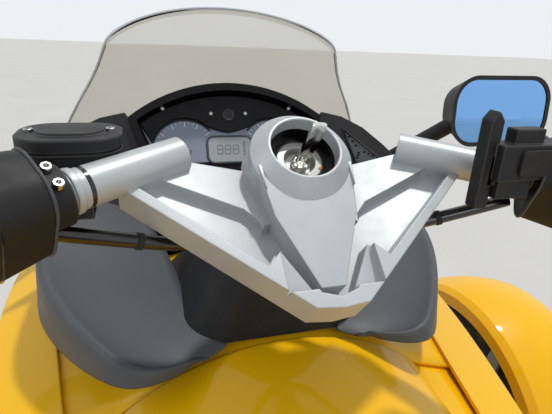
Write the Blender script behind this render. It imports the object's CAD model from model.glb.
"""Looks of the reverse trike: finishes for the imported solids, and the detail that stands on them.

Shapes are written in the part's millimetres and turned into metres when a piece is made.
"""
from math import atan2, cos, hypot, pi, radians, sin, tau

import bmesh
import bpy
from mathutils import Matrix, Vector


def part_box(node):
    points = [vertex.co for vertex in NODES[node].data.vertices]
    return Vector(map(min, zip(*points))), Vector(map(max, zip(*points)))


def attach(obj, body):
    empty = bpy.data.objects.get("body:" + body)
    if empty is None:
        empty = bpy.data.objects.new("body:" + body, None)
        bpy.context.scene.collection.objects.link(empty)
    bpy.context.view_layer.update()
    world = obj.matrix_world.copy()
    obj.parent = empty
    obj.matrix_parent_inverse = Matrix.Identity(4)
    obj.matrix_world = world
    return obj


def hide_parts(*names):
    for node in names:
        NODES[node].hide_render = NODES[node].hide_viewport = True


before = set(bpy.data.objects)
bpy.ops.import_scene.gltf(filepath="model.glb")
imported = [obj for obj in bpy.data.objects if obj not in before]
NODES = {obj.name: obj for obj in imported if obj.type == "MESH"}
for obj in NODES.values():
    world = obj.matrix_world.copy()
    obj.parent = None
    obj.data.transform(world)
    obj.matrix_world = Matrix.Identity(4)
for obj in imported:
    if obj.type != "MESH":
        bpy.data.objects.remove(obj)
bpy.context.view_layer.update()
MM = 0.001
X, Y, Z = Vector((1, 0, 0)), Vector((0, 1, 0)), Vector((0, 0, 1))

# Places that the part's source names too, in millimetres
FRONT_AXLE = Vector((0, 793.5, 285))
REAR_AXLE = Vector((0, -933.5, 303))
REAR_END = -1333.5
TRACK_HALF = 654.0
BAR_RAKE = radians(37.7)
BAR_RING = Vector((0, 411.6, 1030.6))

# ---------------------------------------------------------------- finishes

COAT_ROUGHNESS = 0.06
ROUGHNESS_RANGE = 0.06      # either way of a finish's own roughness
WEAR_RADIUS = 0.002
WEAR_STARTS, WEAR_FULL = 0.97, 0.8      # dot of the bevelled and the true normal


def srgb(*channels):
    """A screen colour as the linear colour that a shader takes."""
    return tuple(c / 12.92 if c <= 0.04045 else ((c + 0.055) / 1.055) ** 2.4 for c in channels)


def finish(name, colour, rough, metal=0.0, coat=0.0, spread=0.08, patch=9.0, grain=None, round_by=0.0,
           wear=None, stretch=(1, 1, 1), sheen=0.0, clear=0.0, ior=1.5, dust=None):
    """A procedural finish.

    grain is (scale per metre, strength, depth in metres); wear is (pale colour, amount) on edges;
    dust is (colour, amount) in patches; clear is transmission.
    """
    mat = bpy.data.materials.new(name)
    mat.use_nodes = True
    nodes, links = mat.node_tree.nodes, mat.node_tree.links
    shader = nodes["Principled BSDF"]
    place = nodes.new("ShaderNodeTexCoord")
    mapping = nodes.new("ShaderNodeMapping")
    mapping.inputs["Scale"].default_value = stretch
    links.new(place.outputs["Object"], mapping.inputs["Vector"])

    def noise(scale, detail=3.0):
        node = nodes.new("ShaderNodeTexNoise")
        node.inputs["Scale"].default_value = scale
        node.inputs["Detail"].default_value = detail
        links.new(mapping.outputs["Vector"], node.inputs["Vector"])
        return node.outputs["Fac"]

    def remap(value, low, high, to_low, to_high):
        node = nodes.new("ShaderNodeMapRange")
        for socket, number in zip(("From Min", "From Max", "To Min", "To Max"), (low, high, to_low, to_high)):
            node.inputs[socket].default_value = number
        links.new(value, node.inputs["Value"])
        return node.outputs["Result"]

    def mix(factor, first, second):
        node = nodes.new("ShaderNodeMix")
        node.data_type = "RGBA"
        links.new(factor, node.inputs["Factor"])
        for socket, value in (("A", first), ("B", second)):
            socket = [s for s in node.inputs if s.name == socket and s.type == "RGBA"][0]
            if isinstance(value, tuple):
                socket.default_value = (*value, 1)
            else:
                links.new(value, socket)
        return [s for s in node.outputs if s.type == "RGBA"][0]

    def bevelled(radius):
        node = nodes.new("ShaderNodeBevel")
        node.inputs["Radius"].default_value = radius
        node.samples = 4
        return node.outputs["Normal"]

    darker = tuple(c * (1 - spread) for c in colour)
    lighter = tuple(min(1, c * (1 + spread)) for c in colour)
    tint = mix(remap(noise(patch), 0.35, 0.65, 0, 1), darker, lighter)
    if dust:
        tint = mix(remap(noise(patch * 2.3, 6), 0.5, 0.75, 0, dust[1]), tint, dust[0])
    normal = bevelled(round_by) if round_by else None
    if wear:
        pale, amount = wear
        dot = nodes.new("ShaderNodeVectorMath")
        dot.operation = "DOT_PRODUCT"
        links.new(bevelled(WEAR_RADIUS), dot.inputs[0])
        links.new(nodes.new("ShaderNodeNewGeometry").outputs["True Normal"], dot.inputs[1])
        tint = mix(remap(dot.outputs["Value"], WEAR_STARTS, WEAR_FULL, 0, amount), tint, pale)
    links.new(tint, shader.inputs["Base Color"])
    smoothest = max(rough - ROUGHNESS_RANGE, 0.01)
    links.new(remap(noise(patch * 5), 0.3, 0.7, smoothest, rough + ROUGHNESS_RANGE), shader.inputs["Roughness"])
    if grain:
        scale, strength, depth = grain
        bump = nodes.new("ShaderNodeBump")
        bump.inputs["Strength"].default_value = strength
        bump.inputs["Distance"].default_value = depth
        links.new(noise(scale, 2.0), bump.inputs["Height"])
        if normal:
            links.new(normal, bump.inputs["Normal"])
        normal = bump.outputs["Normal"]
    if normal:
        links.new(normal, shader.inputs["Normal"])
    for socket, number in (("Metallic", metal), ("Coat Weight", coat), ("Coat Roughness", COAT_ROUGHNESS),
                           ("Sheen Weight", sheen), ("Transmission Weight", clear), ("IOR", ior)):
        shader.inputs[socket].default_value = number
    return mat


PALE_EDGE = srgb(0.55, 0.55, 0.53)
DUST = srgb(0.62, 0.58, 0.5)
YELLOW = finish("body_yellow", srgb(1.0, 0.755, 0.0), 0.42, coat=0.35, ior=1.25, spread=0.03, patch=3,
                grain=(450, 0.04, 0.0004), round_by=0.003)
SILVER = finish("silver_paint", srgb(0.72, 0.735, 0.74), 0.42, metal=0.3, spread=0.05, patch=14,
                grain=(2600, 0.06, 0.0002), round_by=0.0014)
ALLOY = finish("cast_alloy", srgb(0.66, 0.66, 0.65), 0.42, metal=0.85, spread=0.1, patch=20,
               grain=(900, 0.2, 0.0004), round_by=0.0015)
DARK_ALLOY = finish("dark_alloy", srgb(0.2, 0.2, 0.21), 0.45, metal=0.7, spread=0.15, patch=16,
                    grain=(800, 0.25, 0.0004), round_by=0.002)
STEEL = finish("steel", srgb(0.7, 0.7, 0.7), 0.25, metal=1.0, patch=30, stretch=(1, 1, 4),
               grain=(1500, 0.08, 0.0002))
CHROME = finish("chrome", srgb(0.9, 0.9, 0.88), 0.1, metal=1.0, spread=0.03, patch=40)
BLACK = finish("moulded_black", srgb(0.09, 0.092, 0.096), 0.56, ior=1.4, patch=12,
               grain=(1400, 0.35, 0.0003), round_by=0.0015, wear=(PALE_EDGE, 0.35))
PANEL_GREY = finish("panel_grey", srgb(0.29, 0.3, 0.315), 0.5, ior=1.45, spread=0.05, patch=8,
                    grain=(1100, 0.4, 0.0003), round_by=0.002)
GLOSS_BLACK = finish("gloss_black", srgb(0.05, 0.05, 0.055), 0.2, coat=0.4, spread=0.2, patch=10)
MASK_BLACK = finish("mask_black", srgb(0.03, 0.032, 0.04), 0.5, ior=1.25, spread=0.1, patch=10)
FRAME_BLACK = finish("frame_black", srgb(0.09, 0.09, 0.095), 0.35, coat=0.4, spread=0.15, patch=12,
                     grain=(600, 0.15, 0.0003), dust=(DUST, 0.12))
RUBBER = finish("rubber", srgb(0.1, 0.1, 0.1), 0.75, spread=0.2, patch=25, grain=(1600, 0.3, 0.0003))
TYRE = finish("tyre", srgb(0.12, 0.12, 0.12), 0.82, spread=0.2, patch=12, grain=(900, 0.4, 0.0005),
              dust=(DUST, 0.22))
SEAT_BLACK = finish("seat_cover", srgb(0.13, 0.13, 0.135), 0.6, spread=0.15, patch=10, grain=(1300, 0.6, 0.0005),
                    sheen=0.2)
SMOKE = finish("smoked_clear", srgb(0.86, 0.85, 0.82), 0.04, spread=0.03, patch=5, clear=1.0, ior=1.12)
CLEAR = finish("lamp_clear", (0.95, 0.95, 0.95), 0.04, spread=0.01, clear=1.0, ior=1.2)
MIRROR = finish("mirror", srgb(0.5, 0.7, 0.92), 0.02, metal=1.0, spread=0.02)
RED = finish("lamp_red", srgb(0.72, 0.05, 0.05), 0.12, coat=1.0, spread=0.1, patch=30)
AMBER = finish("lamp_amber", srgb(0.95, 0.5, 0.08), 0.15, coat=1.0, spread=0.1, patch=30)
DIAL = finish("dial", srgb(0.36, 0.42, 0.51), 0.3, coat=0.8, patch=14, grain=(2500, 0.1, 0.0001))
LCD = finish("lcd", srgb(0.5, 0.54, 0.54), 0.22, coat=0.8, spread=0.06, patch=20, grain=(3000, 0.1, 0.0001))
INK = finish("pale_ink", srgb(0.82, 0.84, 0.86), 0.5, spread=0.04, patch=60)
DARK_INK = finish("dark_ink", srgb(0.4, 0.44, 0.45), 0.5, spread=0.04, patch=60)
BELT = finish("belt", srgb(0.13, 0.13, 0.13), 0.7, spread=0.15, patch=40, grain=(2000, 0.3, 0.0003))

# ---------------------------------------------------------------- shapes, each a (points, faces) pair


def at(origin, z=Z, x=X):
    """The matrix that stands a shape's own Z along z and its X near x, at the origin."""
    z = Vector(z).normalized()
    x = Vector(x)
    x = (x - z * x.dot(z)).normalized()
    y = z.cross(x)
    return Matrix.Translation(Vector(origin)) @ Matrix((x, y, z)).transposed().to_4x4()


def put(shape, matrix):
    points, faces = shape
    flip = matrix.determinant() < 0
    return [matrix @ Vector(p) for p in points], [tuple(reversed(f)) if flip else f for f in faces]


def mirrored(shape):
    return put(shape, Matrix.Scale(-1, 4, X))


def both(*shapes):
    """The shapes and their mirror images on the other side."""
    return [*shapes, *(mirrored(s) for s in shapes)]


def join(*shapes):
    points, faces = [], []
    for some, few in shapes:
        base = len(points)
        points += some
        faces += [tuple(i + base for i in f) for f in few]
    return points, faces


def polar(radius, turn, z=0.0):
    return radius * cos(turn), radius * sin(turn), z


def lifted(outline, z):
    return [(x, y, z) for x, y in outline]


def sheet_faces(rows, across, around=False, ends_meet=False):
    """The faces between rows of points: around closes each row, ends_meet joins the last row to the first."""
    faces = []
    for k in range(rows if ends_meet else rows - 1):
        a, b = k * across, (k + 1) % rows * across
        faces += [(a + i, a + (i + 1) % across, b + (i + 1) % across, b + i)
                  for i in range(across if around else across - 1)]
    return faces


def lathe(profile, steps=48):
    """Turns a profile of (radius, height) about Z; a closed ring where it ends where it began."""
    points = [polar(r, tau * k / steps, z) for k in range(steps) for r, z in profile]
    n = len(profile)
    faces = []
    for k in range(steps):
        a, b = k * n, (k + 1) % steps * n
        faces += [(a + i, b + i, b + i + 1, a + i + 1) for i in range(n - 1)]
    return points, faces


def box(size, centre):
    cx, cy, cz = centre
    sx, sy, sz = (s / 2 for s in size)
    points = [(cx + a * sx, cy + b * sy, cz + c * sz) for c in (-1, 1) for a, b in
              ((-1, -1), (1, -1), (1, 1), (-1, 1))]
    return points, [(3, 2, 1, 0), (4, 5, 6, 7), (0, 1, 5, 4), (1, 2, 6, 5), (2, 3, 7, 6), (3, 0, 4, 7)]


def prism(outline, low, high):
    n = len(outline)
    caps = [tuple(reversed(range(n))), tuple(range(n, 2 * n))]
    return lifted(outline, low) + lifted(outline, high), caps + sheet_faces(2, n, around=True)


def rounded(width, height, radius, steps=6):
    """The outline of a rectangle with round corners, round the origin."""
    outline = []
    for k, (sx, sy) in enumerate(((1, 1), (-1, 1), (-1, -1), (1, -1))):
        for i in range(steps + 1):
            angle = pi / 2 * (k + i / steps)
            outline.append((sx * (width / 2 - radius) + radius * cos(angle),
                            sy * (height / 2 - radius) + radius * sin(angle)))
    return outline


def tube(path, radius, steps=10, closed=False):
    """A round rod that follows a path of points; radius may be a list, one for each point."""
    path = [Vector(p) for p in path]
    n = len(path)
    points = []
    side = None
    for k, here in enumerate(path):
        before = path[k - 1] if k or closed else here
        after = path[(k + 1) % n] if k < n - 1 or closed else here
        way = (after - before).normalized()
        if side is None:
            side = way.orthogonal().normalized()
        side = (side - way * side.dot(way)).normalized()
        over = way.cross(side)
        size = radius[k] if isinstance(radius, (list, tuple)) else radius
        points += [here + (side * cos(tau * i / steps) + over * sin(tau * i / steps)) * size for i in range(steps)]
    faces = sheet_faces(n, steps, around=True, ends_meet=closed)
    if not closed:
        faces += [tuple(reversed(range(steps))), tuple(range((n - 1) * steps, n * steps))]
    return points, faces


def hoop(width, height, radius, rod):
    """A thin rod bent into a rectangle with round corners."""
    return tube(lifted(rounded(width, height, radius, 8), 0), rod, 6, closed=True)


def dome(radius, height, steps=16, rows=4):
    """A low round cap standing on the plane."""
    turns = [pi / 2 * k / rows for k in range(rows + 1)]
    return lathe([(radius * cos(t), height * sin(t)) for t in turns], steps)


def bolt(radius, height=4.0):
    """A socket screw's head standing on the plane."""
    return lathe([(radius, 0), (radius, height * 0.8), (radius * 0.86, height), (radius * 0.5, height),
                  (radius * 0.5, height * 0.35), (0.01, height * 0.35)], 12)


def arc(centre, radius, start, end, steps):
    """Points on a circle from one angle to another, in degrees."""
    turns = [radians(start + (end - start) * k / steps) for k in range(steps + 1)]
    return [(centre[0] + radius * cos(t), centre[1] + radius * sin(t)) for t in turns]


def add(name, data):
    """Puts an object with this data into the scene."""
    thing = bpy.data.objects.new(name, data)
    bpy.context.scene.collection.objects.link(thing)
    return thing


def piece(name, body, mat, *shapes, sharp=35, bevel=0.0, segments=2, subdivide=0):
    """Makes a mesh of shapes in millimetres, gives it a finish and lets it ride on a body."""
    points, faces = join(*shapes)
    mesh = bpy.data.meshes.new(name)
    mesh.from_pydata([Vector(p) * MM for p in points], [], faces)
    work = bmesh.new()
    work.from_mesh(mesh)
    bmesh.ops.remove_doubles(work, verts=work.verts, dist=2e-5)
    bmesh.ops.recalc_face_normals(work, faces=work.faces)
    work.to_mesh(mesh)
    work.free()
    mesh.shade_smooth()
    mesh.set_sharp_from_angle(angle=radians(sharp))
    mesh.materials.append(mat)
    thing = add(name, mesh)
    if bevel:
        edges = thing.modifiers.new("edges", "BEVEL")
        edges.width, edges.segments, edges.limit_method = bevel * MM, segments, "ANGLE"
        edges.angle_limit = radians(30)
        edges.harden_normals = True
    if subdivide:
        smoothed(thing, subdivide)
    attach(thing, body)
    return thing


def trim(name, mat, *shapes, **looks):
    """A piece that rides on the chassis."""
    return piece(name, "chassis", mat, *shapes, **looks)


def smoothed(thing, levels):
    smooth = thing.modifiers.new("smooth", "SUBSURF")
    smooth.levels = smooth.render_levels = levels


def walled(thing, thickness, offset):
    """Gives a sheet a wall, by its thickness in metres."""
    wall = thing.modifiers.new("wall", "SOLIDIFY")
    wall.thickness, wall.offset = thickness, offset


def dress(table):
    """Gives CAD nodes their finishes from rows of (finish, names)."""
    for mat, names in table:
        for name in names.split():
            mesh = NODES[name].data
            mesh.materials.clear()
            mesh.materials.append(mat)


dress((
    (FRAME_BLACK, "frame swing_arm wishbones anti_roll_bar tie_rod_left tie_rod_right pitman_arm footrests"
                  " grab_rails brake_pedal front_trunk_tub radiator"),
    (YELLOW, "front_lid front_fascia side_fairings console front_fender_left front_fender_right tail_cowl"),
    (BLACK, "upper_cowl column_cover rear_fender plate_carrier mirror_housings switch_housings"
            " clutch_master phone_holder"),
    (PANEL_GREY, "cockpit_panels"),
    (GLOSS_BLACK, "bar_cables"),
    (SILVER, "yoke"),
    (ALLOY, "front_rim_left front_rim_right rear_rim knuckle_left knuckle_right"),
    (DARK_ALLOY, "engine front_shocks rear_shock rear_belt_wheel"),
    (STEEL, "front_disc_left front_disc_right rear_disc exhaust_pipe silencer ignition_lock"),
    (RUBBER, "grips"),
    (TYRE, "front_tyre_left front_tyre_right rear_tyre"),
    (BELT, "drive_belt"),
    (SEAT_BLACK, "seat"),
    (SMOKE, "windshield"),
    (CLEAR, "headlamps"),
    (MIRROR, "mirror_glasses"),
    (RED, "tail_lamps"),
    (DIAL, "gauge_cluster"),
    (MASK_BLACK, "dash_pod"),
))

# ---------------------------------------------------------------- camera, light and floor


def look(location, yaw, pitch, roll, lens):
    """A camera by its turn to the right of +Y, its tilt down and its roll, in degrees."""
    yaw, pitch, roll = radians(yaw), radians(pitch), radians(roll)
    ahead = Vector((sin(yaw) * cos(pitch), cos(yaw) * cos(pitch), -sin(pitch)))
    right = Vector((cos(yaw), -sin(yaw), 0))
    down = ahead.cross(right)
    side = right * cos(roll) - down * sin(roll)
    below = right * sin(roll) + down * cos(roll)
    data = bpy.data.cameras.new("camera")
    data.lens, data.sensor_width, data.clip_start = lens, 36.0, 0.02
    camera = add("camera", data)
    camera.matrix_world = Matrix.Translation(location) @ Matrix((side, -below, -ahead)).transposed().to_4x4()
    bpy.context.scene.camera = camera


def lamp(data, location, way, energy):
    """A light at a place that shines along a direction."""
    data.energy = energy
    light = add(data.name, data)
    light.location = location
    light.rotation_euler = way.to_track_quat("-Z", "Y").to_euler()


def disk_lamp(name, location, target, size, power):
    data = bpy.data.lights.new(name, "AREA")
    data.shape, data.size = "DISK", size
    lamp(data, location, Vector(target) - Vector(location), power)


def sun_lamp(way, strength, spread, colour):
    """A soft sun that shines from a direction."""
    data = bpy.data.lights.new("soft_sun", "SUN")
    data.angle, data.color = radians(spread), colour
    lamp(data, way * 2, -way, strength)


def studio_world():
    """A soft fill on the object, and a paler ground behind it that metal and glass show too."""
    world = bpy.data.worlds.new("studio")
    bpy.context.scene.world = world
    world.use_nodes = True
    nodes, links = world.node_tree.nodes, world.node_tree.links
    seen, fill = nodes["Background"], nodes.new("ShaderNodeBackground")
    for ground, colour, strength in ((seen, (0.9, 0.92, 0.94, 1), 0.95), (fill, (0.86, 0.92, 1.0, 1), 0.52)):
        ground.inputs["Color"].default_value = colour
        ground.inputs["Strength"].default_value = strength
    path = nodes.new("ShaderNodeLightPath")
    shown = path.outputs["Is Camera Ray"]
    for ray in ("Is Transmission Ray", "Is Glossy Ray"):
        either = nodes.new("ShaderNodeMath")
        either.operation = "MAXIMUM"
        links.new(shown, either.inputs[0])
        links.new(path.outputs[ray], either.inputs[1])
        shown = either.outputs[0]
    mixed = nodes.new("ShaderNodeMixShader")
    links.new(shown, mixed.inputs["Fac"])
    links.new(fill.outputs[0], mixed.inputs[1])
    links.new(seen.outputs[0], mixed.inputs[2])
    links.new(mixed.outputs[0], nodes["World Output"].inputs["Surface"])


def surroundings():
    look(Vector((-0.1234, 0.0831, 1.120)), yaw=17.55, pitch=21.04, roll=2.83, lens=30.0)
    sun_lamp(Vector((0.9, 0.4, 3.0)), 1.7, 4.0, (1.0, 0.985, 0.95))
    disk_lamp("left_light", (-3.4, 0.2, 2.6), (0, 0.2, 0.7), 2.4, 14)
    disk_lamp("rear_light", (0.6, -3.6, 2.6), (0, -0.4, 0.6), 2.6, 28)
    studio_world()
    paving = finish("floor", srgb(0.83, 0.82, 0.8), 0.8, spread=0.02, patch=1.5, grain=(40, 0.1, 0.002))
    mesh = bpy.data.meshes.new("floor")
    far = 30.0
    mesh.from_pydata([(-far, -far, 0), (far, -far, 0), (far, far, 0), (-far, far, 0)], [], [(0, 1, 2, 3)])
    mesh.materials.append(paving)
    floor = add("floor", mesh)
    bpy.context.scene.view_settings.view_transform = "Standard"


surroundings()

# ---------------------------------------------------------------- bars and cockpit

BARS = at(BAR_RING, (0, -sin(BAR_RAKE), cos(BAR_RAKE)), X)
TUBE_START = Vector((93.0, 11.4, -12.1))
TUBE_SLOPE = Vector((1.0, -0.593, 0.300))
CLAMP_X = 176.0
CLAMP_R = 20.0


def on_bar(side, x):
    point = TUBE_START + TUBE_SLOPE * (x - TUBE_START.x)
    return Vector((side * point.x, point.y, point.z))


def bar_at(side, x):
    """A section across a bar in the vehicle's frame: its X up from the yoke, its Z outward."""
    way = on_bar(side, x + 1) - on_bar(side, x)
    return BARS @ at(on_bar(side, x), way, Z)


def on_both_bars(shape, x):
    return [put(shape, bar_at(side, x)) for side in (-1, 1)]


def bars_detail():
    seam = lathe([(14.0, -1.6), (14.35, -1.2), (14.35, 1.2), (14.0, 1.6)], 40)
    ring = lathe([(13.5, -3), (15.2, -2.4), (15.6, 0), (15.2, 2.4), (13.5, 3)], 40)
    piece("bar_tube_rings", "bars", SILVER, *on_both_bars(ring, 165))
    piece("bar_tube_seams", "bars", GLOSS_BLACK, *on_both_bars(seam, 158))
    piece("clamp_screws", "bars", STEEL,
          *(put(bolt(3.6, 3.6), bar_at(side, CLAMP_X) @ at((19.2, shift, 0), X, Y))
            for side in (-1, 1) for shift in (-7, 7)))
    # rubber grips with ribs and a flange, drawn between two x and stretched along the slanted tube
    start, end = 240, 388
    profile = [(11.6, 0.4), (17, 0.4), (17, 3.5), (15.2, 5)]
    for k in range(26):
        foot = 6 + k * 5.2
        profile += [(15.2, foot), (16.8, foot + 1.0), (16.8, foot + 3.4), (15.2, foot + 4.4)]
    profile += [(15.2, 144), (17, 146), (17, 147.4), (12, 147.8)]
    stretch = (on_bar(1, end) - on_bar(1, start)).length / (end - start)
    grip = lathe([(r, z * stretch) for r, z in profile], 40)
    grips = piece("ribbed_grips", "bars", RUBBER, *on_both_bars(grip, start), sharp=50)
    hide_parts("grips")


def yoke_collar():
    """The raised cone round the lock, over the yoke's flat ring and the head of its spine."""
    cone = [(27, -1.5), (27.1, 9), (27.8, 9.8), (29, 9.8), (30, 9), (41.2, -2), (41.6, -3.5), (41.6, -8), (40, -8),
            (40, -1.5), (27, -1.5)]
    piece("yoke_collar", "bars", SILVER, put(lathe(cone, 72), BARS), sharp=25)


def lock_and_key():
    ring = lathe([(0.5, -15), (11, -15), (12.2, -9.4), (13.2, -8.2), (18.4, -8.6), (19.8, -9.8), (20, -15.5),
                  (0.5, -15.5)])
    piece("lock_ring", "bars", ALLOY, put(ring, BARS))
    hub = lathe([(0.2, -9.5), (4.5, -9.2), (6.2, -10.4), (6.4, -14.8)], 24)
    cams = [put(dome(3.0, 3.2, 12), BARS @ at((dx, dy, -9.8))) for dx, dy in ((-4.6, -4.0), (3.8, -5.6))]
    # the folded key: two bright bars side by side with a groove between them, standing out of the lock
    foot = BARS @ at((2, 0, -11), (0.12, 0.1, 1), Y)
    slab = prism(rounded(4.2, 5.2, 1.4, 3), 0, 41)
    bars = [put(slab, foot @ at((0, shift, 0))) for shift in (-3.1, 3.1)]
    web = put(prism(rounded(1.4, 4.0, 0.5, 2), 2, 38), foot)
    head = put(prism(rounded(3.4, 10.4, 1.5, 4), 36.5, 42), foot)
    key = piece("folded_key", "bars", CHROME, *bars, web, head, put(hub, BARS), *cams, bevel=0.4)
    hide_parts("ignition_lock")
    mark = lathe([(1.6, -7.9), (0.02, -7.8)], 12)
    piece("lock_mark", "bars", AMBER, put(mark, BARS @ at((15.4, -8.0, 0))))
    well = lathe([(26.7, -1.5), (26.6, -15.4), (20.5, -15.7)])
    piece("lock_well", "bars", GLOSS_BLACK, put(well, BARS))


RESERVOIR = Vector((-168, 434, 1004))


def reservoir_detail():
    top = 42.0
    base = at(RESERVOIR)
    lip = prism(rounded(68.5, 60.5, 23.4, 8), top - 0.3, top + 0.6)
    oval = prism(rounded(46, 38, 17, 8), top - 0.5, top + 2.6)
    skirt = put(hoop(67.6, 59.6, 22.8, 1.3), at((0, 0, 31.5)))
    piece("reservoir_lid", "bars", BLACK, *(put(s, base) for s in (lip, oval, skirt)), bevel=0.9)
    screws = [put(bolt(3.4, 2.4), base @ at((x, 0, top + 0.4))) for x in (27, -27)]
    piece("reservoir_screws", "bars", STEEL, *screws)
    glass = lathe([(0.1, 1.4), (5.2, 1.2), (6.4, 0.2), (6.6, -0.4)], 24)
    piece("reservoir_sight", "bars", CLEAR, put(glass, base @ at((4, -29.2, 18), -Y, X)))


def switch_detail():
    """Buttons and plain generic marks on the two switch housings."""
    buttons, marks = [], []
    arrow = [(-2.6, -1.8), (2.6, 0), (-2.6, 1.8)]
    stroke = [(-2.6, -0.7), (2.6, -0.7), (2.6, 0.7), (-2.6, 0.7)]
    for side in (-1, 1):
        for x, out, rows in ((199, 28.2, (-18, 0, 18)), (217, 27.6, (-12, 10))):
            for row in rows:
                face = bar_at(side, x) @ at((row, -side * out, 0), (0, -side, 0), X)
                buttons.append(put(prism(rounded(12, 9.5, 2.5, 4), 0, 2.6), face))
                marks.append(put(prism(arrow if row else stroke, 2.65, 2.8), face))
    piece("switch_buttons", "bars", RUBBER, *buttons, bevel=0.7)
    piece("switch_marks", "bars", INK, *marks)
    piece("switch_bands", "bars", PANEL_GREY, *on_both_bars(hoop(66.6, 52.6, 20.3, 1.1), 184.6))
    piece("switch_seams", "bars", GLOSS_BLACK, *on_both_bars(hoop(76.4, 58.4, 24.2, 0.8), 210.2))


DASH_TILT = radians(25)
DASH = at((0, 690, 990), (0, -cos(DASH_TILT), sin(DASH_TILT)), X)
DIAL_FACE, MASK_FACE = -18, -12     # heights over the dash's own plane


def arch_line(half_low, low, half_high, shoulder, top, steps=28):
    """The outline of a dash section: flat foot, straight sides, one arc over the top."""
    rise = top - shoulder
    radius = (half_high ** 2 + rise ** 2) / (2 * rise)
    centre = top - radius
    span = atan2(half_high, shoulder - centre)
    turns = [span * (1 - 2 * k / steps) for k in range(steps + 1)]
    return [(-half_low, low), (half_low, low)] + [(radius * sin(t), centre + radius * cos(t)) for t in turns]


def cluster():
    """The instruments: two clipped dials behind a mask, a small display between them and the warning lights."""
    def dash(name, mat, *shapes, bevel=0.0):
        return trim(name, mat, *(put(s, DASH) for s in shapes), bevel=bevel)

    face = arch_line(97, -39, 118, 14, 52)
    base = dash("dial_plate", DIAL, prism(face, -27.5, DIAL_FACE), bevel=0.5)
    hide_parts("gauge_cluster")
    # black mask over the dials, with a low notch between them
    notch = [(-14, 4), (0, 1), (14, 4)]
    lower = arc((-60, -26), 47, 160, 48, 16) + notch + arc((60, -26), 47, 132, 20, 16)
    dash("dial_mask", MASK_BLACK, prism(face[2:] + lower, -17.8, MASK_FACE), bevel=0.8)
    rims, ticks, needles = [], [], []
    for x, rim_ends, aim in ((-60, (42, 196), 205), (60, (-16, 138), 160)):
        spot = Vector((x, -26, 0))
        rims.append(tube(lifted(arc(spot, 45.5, *rim_ends, 40), -17.4), 1.3, 8))
        for k in range(25):
            inner, wide = (39.5, 0.6) if k % 3 else (36.5, 1.1)
            tick = box((43 - inner, wide, 0.4), ((43 + inner) / 2, 0, DIAL_FACE + 0.2))
            ticks.append(put(tick, at(spot, Z, polar(1, radians(-8 + 196 * k / 24)))))
        needle = prism([(34, 0), (-8, -1.6), (-8, 1.6)], -16.4, -15.6)
        needles += [put(needle, at(spot, Z, polar(1, radians(aim)))), put(dome(6, 3), at(spot - 17.6 * Z))]
    dash("dial_rims", BLACK, *rims)
    dash("dial_ticks", INK, *ticks)
    dash("dial_needles", GLOSS_BLACK, *needles)
    middle = at((0, -22, 0))
    dash("screen", LCD, put(prism(rounded(60, 34, 8), DIAL_FACE, -16.6), middle), bevel=0.4)
    edge = tube(lifted(rounded(62.5, 36.5, 9), -17.2), 1.6, 8, closed=True)
    dash("screen_frame", PANEL_GREY, put(edge, middle))
    flat = [box((6.5, 1.0, 0.3), (-14 + 11 * k, dy, -16.5)) for k in range(3) for dy in (-6, 0, 6)]
    upright = [box((1.0, 5.0, 0.3), (-17.6 + 11 * k + dx, dy, -16.5))
               for k in range(3) for dx in (0, 7.2) for dy in (-3, 3)]
    bars = [box((3.0, 2.0, 0.3), (20, -10 + 3.4 * k, -16.5)) for k in range(7)]
    dash("screen_segments", DARK_INK, *(put(s, middle) for s in flat + upright + bars))
    spots = ((-24, 27), (24, 27), (-88, 34), (88, 34))
    dash("warning_lights", INK, *(put(dome(2.4, 1.2, 12), at((x, y, MASK_FACE))) for x, y in spots))
    lens = lathe([(8.5, 0), (8.2, 1.2), (6.6, 1.4), (6.2, 0.5), (0.1, 0.6)], 32)
    dash("warning_lens", BLACK, put(lens, at((0, 25, MASK_FACE))))
    dash("warning_red", RED, put(prism(rounded(9, 3.4, 1.4, 3), 0, 0.6), at((47, 4, -17.9))))


SCREEN_SIDE = (
    # height, half width of the screen
    (945, 232), (982, 215), (1022, 192), (1046, 176.5), (1066, 165.5), (1092, 154),
)
SCREEN_TOP = 1144
SCREEN_ARCS = (
    # height, half width, y at the sides and y in the middle of the screen in the part's source
    (945, 232, 790, 884),
    (1150, 128, 689, 756),
)


def screen_half(z):
    for (low, wide), (high, narrow) in zip(SCREEN_SIDE, SCREEN_SIDE[1:]):
        if z <= high:
            return wide + (narrow - wide) * (z - low) / (high - low)
    return SCREEN_SIDE[-1][1]


def screen_point(across, up):
    """A point on the screen's back from shares of its width (-1 to 1) and height (0 to 1)."""
    foot, corner = SCREEN_SIDE[0][0], SCREEN_SIDE[-1][0]
    side_z = foot + (corner - foot) * up
    top = corner + (SCREEN_TOP - corner) * max(0, 1 - across * across) ** 0.6
    return on_screen(across * screen_half(side_z), foot + (top - foot) * up)


def screen():
    """The smoked screen with flared sides, round shoulders and a polished edge, and its four screws."""
    columns, rows = 64, 20
    spread = [sin(pi / 2 * (2 * k / columns - 1)) for k in range(columns + 1)]
    points = [screen_point(share, r / rows) for r in range(rows + 1) for share in spread]
    pane = trim("smoked_screen", SMOKE, (points, sheet_faces(rows + 1, columns + 1)))
    walled(pane, 0.004, 0)
    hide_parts("windshield")
    heights = [0.2 + 0.8 * r / 20 for r in range(20)]
    edge = ([screen_point(-1, up) for up in heights] + [screen_point(share, 1) for share in spread]
            + [screen_point(1, up) for up in reversed(heights)])
    trim("screen_edge", INK, tube(edge, 1.6, 8))
    places = [at(on_screen(x, z) - 2.5 * Y, (x * 0.0012, -1, 0.45))
              for x, z in ((-196, 962), (-120, 958), (120, 958), (196, 962))]
    trim("screen_screws", BLACK, *(put(dome(7, 3, 20), place) for place in places))


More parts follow.
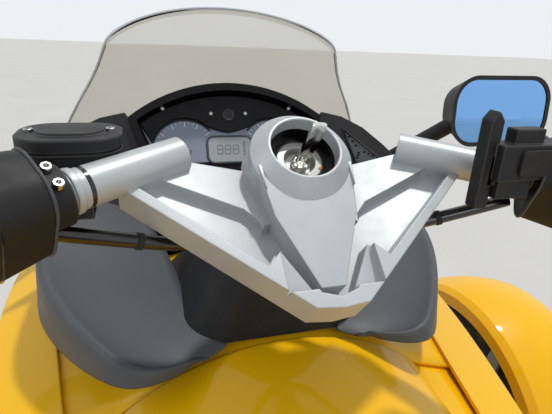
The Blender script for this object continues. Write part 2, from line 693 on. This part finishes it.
def on_screen(x, z):
    """A point on the screen's back at a height, from the same arcs as in the part's source."""
    (foot, *low), (head, *high) = SCREEN_ARCS
    share = (z - foot) / (head - foot)
    half, side_y, mid_y = (a + (b - a) * share for a, b in zip(low, high))
    rise = mid_y - side_y
    radius = (half ** 2 + rise ** 2) / (2 * rise)
    return Vector((x, mid_y - radius + (max(radius ** 2 - x * x, 0)) ** 0.5 - 2, z))


WING = ((108, -56), (228, -58), (256, -47), (231, -22), (200, 4), (167, 21), (136, 28), (128, 16))
VENT = ((166, 2), (224, -45), (183, -48))


def dash_wings():
    """The panels beside the instrument pod, each with a small grille set in a raised frame."""
    plane = DASH @ at((0, 0, -6))
    corners = [Vector(p) for p in lifted(VENT, 0)]
    centre = sum(corners, Vector()) / 3
    rim = tube(lifted(VENT, 1.0), 2.2, 8, closed=True)
    hole = prism(rounded(4.6, 2.6, 1.1, 3), 0.8, 1.1)
    holes = [put(hole, plane @ at(centre.lerp(corner, share))) for share in (0.22, 0.42, 0.62) for corner in corners]
    trim("dash_wings", BLACK, *both(put(prism(WING, -8, 0), plane)), bevel=2.0, segments=3)
    trim("vent_grilles", PANEL_GREY, *both(put(prism(VENT, 0, 0.8), plane)))
    trim("vent_frames", BLACK, *both(put(rim, plane)))
    trim("vent_holes", MASK_BLACK, *both(*holes))


def phone_detail():
    """The phone clamp: a claw arm with a pointed tip, a stepped body, a clamp round the bar and a knob."""
    arm = prism([(118.5, 1000), (129.5, 1000), (129.5, 1067), (124, 1074), (118.5, 1067)], -362, -350)
    parts = [put(arm, at((0, 0, 0), -Y)), box((20, 12, 24), (134, 356, 1030)), box((76, 20, 27), (165, 352, 1037)),
             box((26, 12, 13), (152, 352, 1055)), box((30, 16, 17), (146, 353, 1017))]
    ring = lathe([(14.3, -7), (CLAMP_R, -7), (CLAMP_R, 7), (14.3, 7), (14.3, -7)], 40)
    parts.append(put(ring, bar_at(1, CLAMP_X)))
    holder = piece("phone_clamp", "bars", BLACK, *parts, bevel=1.2)
    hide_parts("phone_holder")
    knob = put(lathe([(0.2, 9), (10, 9), (11, 8), (11, 1), (10, 0)], 20), at((203, 352, 1036), X, Y))
    pad = put(prism(rounded(50, 20, 4, 4), 0, 2.4), at((168, 342, 1037), -Y))
    piece("phone_grip_parts", "bars", RUBBER, knob, pad, bevel=0.8)


def cable_ties():
    tie = lathe([(5.5, -2.4), (6.5, -2.2), (6.5, 2.2), (5.5, 2.4)], 20)
    places = [at((side * x, y, z), (side * 0.9, -0.25, 0.3), Y)
              for side in (-1, 1) for x, y, z in ((126, 399.6, 972.3), (86, 412.2, 961))]
    piece("cable_ties", "bars", RUBBER, *(put(tie, place) for place in places))


# ---------------------------------------------------------------- wheels


def tyre_shape(radius, width, bead, steps, blocks):
    """A tyre with round grooves and slanted shoulder cuts in its tread and fine rings on its walls."""
    half = width / 2
    bulge = bead + 0.5 * (radius - bead)

    def through(a, b, c, count):
        """Points on the circle through three points, from a to c."""
        (ax, ay), (bx, by), (cx, cy) = a, b, c
        aa, bb, cc = (x * x + y * y for x, y in (a, b, c))
        d = 2 * (ax * (by - cy) + bx * (cy - ay) + cx * (ay - by))
        ux = (aa * (by - cy) + bb * (cy - ay) + cc * (ay - by)) / d
        uy = (aa * (cx - bx) + bb * (ax - cx) + cc * (bx - ax)) / d
        start, middle, end = (atan2(y - uy, x - ux) for x, y in (a, b, c))
        sweep = (end - start) % tau
        if (middle - start) % tau > sweep:
            sweep -= tau
        size = hypot(ax - ux, ay - uy)
        turns = [start + sweep * k / count for k in range(count + 1)]
        return [(ux + size * cos(t), uy + size * sin(t)) for t in turns]

    wall = through((half * 0.8, bead), (half, bulge), (half * 0.8, radius - 9), 14)
    tread = through((half * 0.8, radius - 9), (0, radius), (-half * 0.8, radius - 9), 44)
    line = wall[:-1] + tread + [(-x, r) for x, r in reversed(wall[:-1])]
    grooves = (0.17, 0.5)
    points, faces = [], []
    count = len(line)
    for k in range(steps):
        turn = tau * k / steps
        for x, r in line:
            share = abs(x) / half
            if share < 0.79 and r > radius - 10:
                cut = 0
                if any(abs(share - g) < 0.04 for g in grooves):
                    cut = 6.0
                slant = (k / steps * blocks + share * 0.9) % 1.0
                if share > 0.52 and slant < 0.2:
                    cut = 5.0
                if 0.2 < share < 0.46 and (slant + 0.35) % 1.0 < 0.13:
                    cut = 3.5
                r -= cut
            elif r < radius - 12 and int((r - bead) / 3.2) % 5 == 2:
                x -= 0.7 if x > 0 else -0.7
            points.append((x, r * cos(turn), r * sin(turn)))
    for k in range(steps):
        a, b = k * count, (k + 1) % steps * count
        faces += [(a + i, b + i, b + (i + 1) % count, a + (i + 1) % count) for i in range(count)]
    return points, faces


def wheels():
    front = tyre_shape(radius=285, width=165, bead=178.3, steps=300, blocks=50)
    for tag, side in (("left", -1), ("right", 1)):
        body, centre = f"wheel_front_{tag}", FRONT_AXLE + side * TRACK_HALF * X
        rubber = piece(f"treaded_tyre_{tag}", body, TYRE, put(front, at(centre)), sharp=28)
        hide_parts(f"front_tyre_{tag}")
        out = at(centre, side * X, Y)
        wheel_trim(f"front_wheel_trim_{tag}", body, out, face=31, rim=178)
        disc_trim(f"front_disc_trim_{tag}", body, out, face=-20.2, radius=130)
    rear = tyre_shape(radius=303, width=225, bead=190.8, steps=320, blocks=52)
    rubber = piece("treaded_tyre_rear", "wheel_rear", TYRE, put(rear, at(REAR_AXLE)), sharp=28)
    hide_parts("rear_tyre")


def wheel_trim(name, body, out, face, rim):
    """Lug bolts, a hub cap and the valve on a wheel's outer side."""
    bolts = [put(bolt(5.2, 5), out @ at(polar(32, tau * k / 5, face))) for k in range(5)]
    turn = tau * 0.13
    stem = tube([(0, 0, 0), (0, 0, 10), (0, 0, 11), (0, 0, 22)], [4.5, 3.2, 2.6, 2.6], 10)
    bolts.append(put(stem, out @ at(polar(rim - 19, turn, 26), polar(-0.4, turn, 1))))
    piece(name, body, STEEL, *bolts, bevel=0.4)
    cap = lathe([(24, 0), (24, 3), (21, 6), (12, 7.4), (0.1, 7.8)], 32)
    piece(name + "_cap", body, BLACK, put(cap, out @ at((0, 0, face - 0.4))))


def disc_trim(name, body, out, face, radius):
    """Rows of dark drilled holes and the rivets of a brake disc."""
    hole, rivet = lathe([(3.2, 0), (0.05, 0.05)], 10), dome(5, 2.5, 14)
    holes = [put(hole, out @ at(polar(radius - inset, tau * (k / 30 + shift), face), -Z))
             for k in range(30) for inset, shift in ((10, 0), (21, 0.4 / 90), (32, 0.8 / 90))]
    rivets = [put(rivet, out @ at(polar(radius - 48, tau * k / 8, face), -Z)) for k in range(8)]
    piece(name + "_holes", body, GLOSS_BLACK, *holes)
    piece(name + "_rivets", body, STEEL, *rivets)


# ---------------------------------------------------------------- suspension, engine and exhaust


def shock_shapes(low, high, low_r, high_r, spring_r, x):
    """(bright shapes, dark shapes, coil) of a coil-over shock between two eyes."""
    low, high = Vector(low), Vector(high)
    length = (high - low).length
    stand = at(low, high - low, x)
    wire, turns, first, last = 5.2, 7.5, 48, length - 68
    count = int(turns * 28)
    coil = [polar(spring_r - wire, tau * turns * k / count, first + (last - first) * k / count)
            for k in range(count + 1)]
    inner, outer, body_top = spring_r + 3, spring_r + 4, length * 0.55
    bright = [lathe([(9, 12), (9, length - 120)], 24),
              lathe([(0.1, length - 40), (15, length - 40), (15, length - 14), (0.1, length - 14)], 24)]
    dark = [lathe([(16, 60), (22, 64), (22, body_top), (19, body_top + 4), (9.2, body_top + 4)], 32),
            lathe([(9, 38), (inner, 38), (outer, 41), (outer, 45), (20, 47)], 40),
            lathe([(15, last), (inner, last + 2), (outer, last + 7), (inner, last + 12), (14, last + 14)], 40)]
    for along, bore in ((0, low_r), (length, high_r)):
        eye = lathe([(bore + 0.3, -17), (bore + 9, -17), (bore + 9, 17), (bore + 0.3, 17), (bore + 0.3, -17)], 28)
        dark.append(put(eye, at((0, 0, along), X, Z)))
    dark.append(lathe([(10, 8), (10, 40)], 20))
    return [put(s, stand) for s in bright], [put(s, stand) for s in dark], put(tube(coil, wire, 8), stand)


def shocks():
    for name, args, twin in (("rear_shock", ((0, -452, 352), (0, -400, 577), 8, 16, 36, X), False),
                             ("front_shocks", ((450, 793.5, 205), (203, 793.5, 545), 8, 8, 34, Y), True)):
        bright, dark, coil = shock_shapes(*args)
        if twin:
            bright, dark, coil = both(*bright), both(*dark), join(*both(coil))
        body = trim(name + "_dampers", DARK_ALLOY, *dark)
        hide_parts(name)
        trim(name + "_rods", STEEL, *bright)
        trim(name + "_coils", YELLOW, coil)


BANK_LEAN = radians(28)


def engine_detail():
    """Cooling fins, cover screws, plugs and an oil filter on the engine block."""
    fins, screws, plugs = [], [], []
    low_fin, high_fin = prism(rounded(130, 131, 22, 5), 0, 3.4), prism(rounded(142, 140, 16, 5), 0, 4)
    plug = tube([(0, 0, 0), (0, 0, 14), (0, 0, 16), (0, 0, 34)], [9, 9, 6, 5], 12)
    for way, base_y in ((1, 60), (-1, -30)):
        bank = at((0, base_y, 368), (0, way * sin(BANK_LEAN), cos(BANK_LEAN)), X)
        fins += [put(low_fin, bank @ at((0, 0, 10 + 11 * k))) for k in range(10)]
        fins += [put(high_fin, bank @ at((0, 0, 134 + 13 * k))) for k in range(4)]
        fins.append(put(prism(rounded(104, 96, 20, 5), 190.5, 196), bank))
        screws += [put(bolt(5, 5), bank @ at((x, y, 191)))
                   for x, y in ((-55, -52), (55, -52), (55, 52), (-55, 52), (0, 52), (0, -52))]
        plugs += [put(plug, bank @ at((side * 67, 10, 152), (side, 0, 0.5), Y)) for side in (-1, 1)]
    trim("cylinder_fins", ALLOY, *fins)
    for x, y, z, radius, count in ((167, 70, 315, 80, 9), (155, -120, 300, 52, 7), (-167, 90, 315, 72, 8)):
        turns = [tau * k / count for k in range(count)]
        screws += [put(bolt(4.2, 4), at((x, y + radius * cos(t), z + radius * sin(t)), (x, 0, 0), Y)) for t in turns]
        profile = [(0.62 * radius, 0), (0.62 * radius, 2.5), (0.55 * radius, 3.5), (0.3 * radius, 4), (0.1, 4)]
        plugs.append(put(lathe(profile, 40), at((x, y, z), (x, 0, 0), Y)))
    plugs.append(put(lathe([(34, 0), (36, 4), (36, 50), (30, 56), (0.1, 57)], 32), at((0, 236, 280), Y, X)))
    trim("engine_screws", STEEL, *screws)
    trim("engine_covers", BLACK, *plugs, bevel=0.8)


def exhaust_detail():
    lean, way = Vector((0, sin(BANK_LEAN), cos(BANK_LEAN))), Vector((0, cos(BANK_LEAN), -sin(BANK_LEAN)))
    flange = lathe([(20.4, 0), (30, 0), (30, 7), (20.4, 7)], 32)
    bands = [put(flange, at(Vector((30, 60, 368)) + 158 * lean + 68 * way, way, X))]
    x, z = 252, 234     # the silencer's axis
    turns = [tau * k / 48 for k in range(48)]
    bands += [tube([(x + a * cos(t), y, z + b * sin(t)) for t in turns], 3.0, 8, closed=True)
              for y, a, b in ((-216, 65, 71), (-515, 67, 77))]
    bands.append(put(lathe([(21, -14), (23, -12), (23, 12), (21, 14)], 32), at((x, -165, z), Y, X)))
    trim("exhaust_bands", CHROME, *bands)
    tip = lathe([(30, 0), (30, 12), (26, 13), (26, 1), (0.1, 0.8)], 32)
    trim("exhaust_tip", GLOSS_BLACK, put(tip, at((x, -590, z), -Y, X)))


def radiator_detail():
    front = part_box("radiator")[1].y / MM
    fins = [box((340, 3.0, 1.4), (0, front - 6, 312 + 5.4 * k)) for k in range(37)]
    tubes = [box((2.2, 4.0, 200), (-165 + 15 * k, front - 7.2, 410)) for k in range(23)]
    trim("radiator_fins", ALLOY, *fins, *tubes)


# ---------------------------------------------------------------- nose, tail and body trim


def oval_shell(rows):
    """A shell through upright ovals, each a (half width, half height, y)."""
    points = [(a * cos(tau * k / 48), y, b * sin(tau * k / 48)) for a, b, y in rows for k in range(48)]
    return points, sheet_faces(len(rows), 48, around=True)


def lamps():
    """Headlamps with a bezel, a bowl, a bulb and a clear front; ribbed tail lamps."""
    def pair(shape):
        return [put(shape, at((side * 255, 0, 610))) for side in (-1, 1)]

    bezel = oval_shell(((20, 30, 1200.5), (36, 52, 1202), (44.5, 61.5, 1222), (45, 62, 1254), (42, 59, 1259.5),
                        (39, 56, 1257), (38.5, 55.5, 1246)))
    bowl = oval_shell(((38.5, 55.5, 1247), (33, 48, 1226), (20, 28, 1210), (6, 8, 1205), (0.1, 0.1, 1204.5)))
    lens = oval_shell(((39.5, 56.5, 1250), (36, 52, 1255), (24, 36, 1258.5), (8, 12, 1259.8), (0.1, 0.1, 1260)))
    bulb = put(lathe([(5, 0), (5, 14), (7, 18), (7, 27), (3.5, 32), (0.1, 33)], 20), at((0, 1205, 0), Y, X))
    housing = trim("headlamp_bezels", BLACK, *pair(bezel))
    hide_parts("headlamps")
    trim("headlamp_bowls", CHROME, *pair(bowl))
    trim("headlamp_bulbs", INK, *pair(bulb))
    trim("headlamp_lenses", CLEAR, *pair(lens))
    ribs = [box((1.6, 2.0, 30), (-44 + 8 * k, REAR_END + 151, 775)) for k in range(12)]
    trim("tail_lamp_ribs", RED, *ribs, bevel=0.5)


def grille():
    """A net of bars behind the nose's opening."""
    y, middle = 1318, 430
    bars = [box((2.4, 4, 128), (12 * k, y, middle)) for k in range(-7, 8)]
    bars += [box((178 - 1.2 * abs(k), 4, 2.4), (0, y + 1, middle + 12 * k)) for k in range(-5, 6)]
    trim("nose_grille", BLACK, *bars)


def plate_detail():
    here = at((0, REAR_END + 10.8, 495), -Y, X)
    plate = prism(rounded(176, 106, 7, 4), 0.2, 1.6)
    trim("blank_plate", INK, put(plate, here), bevel=0.4)
    trim("plate_screws", STEEL, *(put(bolt(5, 3), here @ at((x, 0, 1.6))) for x in (-75, 75)))


APRON_ROWS = (
    # y, top, shoulder half width, shoulder z, edge half width, edge z
    (428, 842, 150, 790, 226, 764),
    (470, 841, 152, 794, 232, 770),
    (530, 839, 156, 798, 244, 775),
    (590, 838, 160, 800, 254, 778),
    (660, 836, 166, 802, 260, 780),
)
GUTTER_ROWS = (
    # y; inner x, z inside the console's flank; outer x, z under the side deck
    (500, 138, 790, 232, 766),
    (428, 142, 787, 225, 760),
    (367, 144, 783, 214, 755),
    (250, 144, 764, 208, 735),
    (134, 138, 743, 201, 714),
)


def apron():
    """The body's skin between the side decks ahead of the console, under the scoops and the column's cover."""
    points = []
    across = 41
    for y, top, shoulder, shoulder_z, edge, edge_z in APRON_ROWS:
        for k in range(across):
            x = -edge + 2 * edge * k / (across - 1)
            if abs(x) <= shoulder:
                z = top - (top - shoulder_z) * (x / shoulder) ** 2
            else:
                z = shoulder_z + (edge_z - shoulder_z) * (abs(x) - shoulder) / (edge - shoulder)
            points.append((x, y, z))
    middle = points, sheet_faces(len(APRON_ROWS), across)
    gutter = ([p for y, x, z, out, out_z in GUTTER_ROWS for p in ((x, y, z), (out, y, out_z))],
              sheet_faces(len(GUTTER_ROWS), 2))
    skin = trim("body_apron", YELLOW, middle, *both(gutter), subdivide=1)
    walled(skin, 0.003, -1)


SCOOP_ROWS = (
    # inner edge x, y, z; lip x, y, z; depth of the outer wall
    (132, 693, 900, 216, 693, 940, 60),
    (104, 622, 872, 227, 618, 914, 58),
    (90, 556, 860, 230, 550, 889, 55),
    (86, 504, 857, 210, 498, 877, 46),
    (80, 466, 854, 184, 456, 867, 36),
    (72, 446, 852, 160, 424, 860, 25),
    (66, 438, 850, 138, 401, 854, 14),
    (60, 433, 848, 112, 401, 850, 9),
    (52, 429, 847, 84, 415, 848, 6),
)
SCOOP_COLUMNS = (
    # share of the way to the lip, sag
    (0, 0), (0.3, 4), (0.62, 6), (0.88, 3), (0.96, 0), (1, 0),
)


def scoop_shape():
    """The right hand scoop: a dished shell from the column's cover out to a lip with a wall under it."""
    points = []
    for x, y, z, lip_x, lip_y, lip_z, wall in SCOOP_ROWS:
        inner, lip = Vector((x, y, z)), Vector((lip_x, lip_y, lip_z))
        points += [inner.lerp(lip, share) - Z * sag for share, sag in SCOOP_COLUMNS]
        out = Vector((lip_x - x, lip_y - y, 0)).normalized()
        points += [lip + out * 3 - Z * min(3, wall / 3), lip + out * 5 - Z * wall * 0.6, lip + out * 7 - Z * wall]
    return points, sheet_faces(len(SCOOP_ROWS), len(points) // len(SCOOP_ROWS))


def scoops():
    """The cockpit's two black side panels, as smooth as moulded plastic."""
    shell = trim("side_scoops", PANEL_GREY, *both(scoop_shape()), subdivide=2)
    walled(shell, 0.003, 0)
    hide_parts("cockpit_panels")


def fairing_screws():
    """Small round-headed screws where the body's panels are held."""
    spots = ((234, 1150, 640), (273, 960, 760), (293, 700, 745), (280, 520, 735), (242, 300, 728), (225, 170, 702))
    heads = [put(dome(6.5, 2.2, 18), at(spot, (1, 0, 0.35), Y)) for spot in spots]
    trim("fairing_screws", BLACK, *both(*heads))


def footrest_detail():
    ribs = [box((5, 54, 3), (234 + 11.5 * k, 140, 318)) for k in range(9)]
    ribs += [box((5, 38, 3), (217 + 11 * k, -372, 427)) for k in range(8)]
    pedal = [box((4, 28, 2.4), (196 + 9 * k, 256, 315)) for k in range(5)]
    trim("footrest_pads", RUBBER, *both(*ribs), *pedal, bevel=0.8)


# ---------------------------------------------------------------- seat


SEAT_ROWS = (
    # y, low z, top z, half width, crown
    (60, 694, 758, 96, 6),
    (0, 692, 752, 118, 8),
    (-90, 692, 733, 140, 9),
    (-190, 692, 727, 155, 9),
    (-280, 693, 742, 160, 9),
    (-335, 696, 800, 158, 10),
    (-380, 704, 830, 152, 10),
    (-480, 724, 842, 146, 10),
    (-600, 750, 854, 138, 10),
    (-690, 772, 846, 118, 8),
)


def seat_pad():
    """The saddle: a closed form swelled by a short cloth run, then piped along its seams."""
    points = []
    across = 25
    spread = [2 * k / (across - 1) - 1 for k in range(across)]
    for y, low, top, half, crown in SEAT_ROWS:
        for u in spread:
            edge = (1 - abs(u) ** 5) ** 0.5
            points.append((u * half, y, top - 10 - crown + (crown + 4) * edge - (1 - edge) * (top - low) * 0.35))
        points += [(-u * (half - 10), y, low + 3) for u in spread]
    count = 2 * across
    faces = sheet_faces(len(SEAT_ROWS), count, around=True)
    faces += [tuple(range(count)), tuple(reversed(range(len(points) - count, len(points))))]
    pad = piece("saddle", "seat", SEAT_BLACK, (points, faces), sharp=80)
    pad.parent = None
    swell(pad, voxel=0.007, pressure=4.0, cap=0.012, bounds=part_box("seat"))
    pad.data.shade_smooth()
    smoothed(pad, 1)
    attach(pad, "seat")
    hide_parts("seat")
    lines = [[(side * (half - 14), y, top + 3) for y, low, top, half, crown in SEAT_ROWS[1:]] for side in (-1, 1)]
    piece("saddle_piping", "seat", GLOSS_BLACK, *(tube(spread_line(line, 8), 2.2, 8) for line in lines))


def spread_line(points, count):
    """Points along a smooth curve through the given ones."""
    points = [Vector(p) for p in points]
    ends = [points[0] * 2 - points[1]] + points + [points[-1] * 2 - points[-2]]
    line = []
    for a, b, c, d in zip(ends, ends[1:], ends[2:], ends[3:]):
        for k in range(count):
            t = k / count
            line.append(0.5 * (2 * b + (c - a) * t + (2 * a - 5 * b + 4 * c - d) * t * t
                               + (3 * b - a - 3 * c + d) * t ** 3))
    return line + [points[-1]]


def swell(pad, voxel, pressure, cap, bounds):
    """Remeshes a pad, swells it as cloth under pressure, and caps how far each point moves."""
    remesh = pad.modifiers.new("remesh", "REMESH")
    remesh.mode, remesh.voxel_size = "VOXEL", voxel
    apply_all(pad)
    rest = [v.co.copy() for v in pad.data.vertices]
    cloth = pad.modifiers.new("cloth", "CLOTH")
    cloth.settings.use_pressure = True
    cloth.settings.uniform_pressure_force = pressure
    cloth.settings.effector_weights.gravity = 0
    cloth.settings.quality = 4
    scene = bpy.context.scene
    for step in range(1, 21):
        scene.frame_set(step)
    apply_all(pad)
    scene.frame_set(1)
    low, high = bounds
    for vertex, start in zip(pad.data.vertices, rest):
        move = vertex.co - start
        if move.length > cap:
            move *= cap / move.length
        spot = start + move
        vertex.co = [min(max(spot[i], low[i] + 0.0005), high[i] - 0.0005) for i in range(3)]


def apply_all(thing):
    graph = bpy.context.evaluated_depsgraph_get()
    mesh = bpy.data.meshes.new_from_object(thing.evaluated_get(graph))
    thing.modifiers.clear()
    old, thing.data = thing.data, mesh
    bpy.data.meshes.remove(old)


bars_detail()
yoke_collar()
lock_and_key()
reservoir_detail()
switch_detail()
cluster()
screen()
dash_wings()
phone_detail()
cable_ties()
wheels()
shocks()
engine_detail()
exhaust_detail()
radiator_detail()
lamps()
grille()
plate_detail()
apron()
scoops()
fairing_screws()
footrest_detail()
seat_pad()
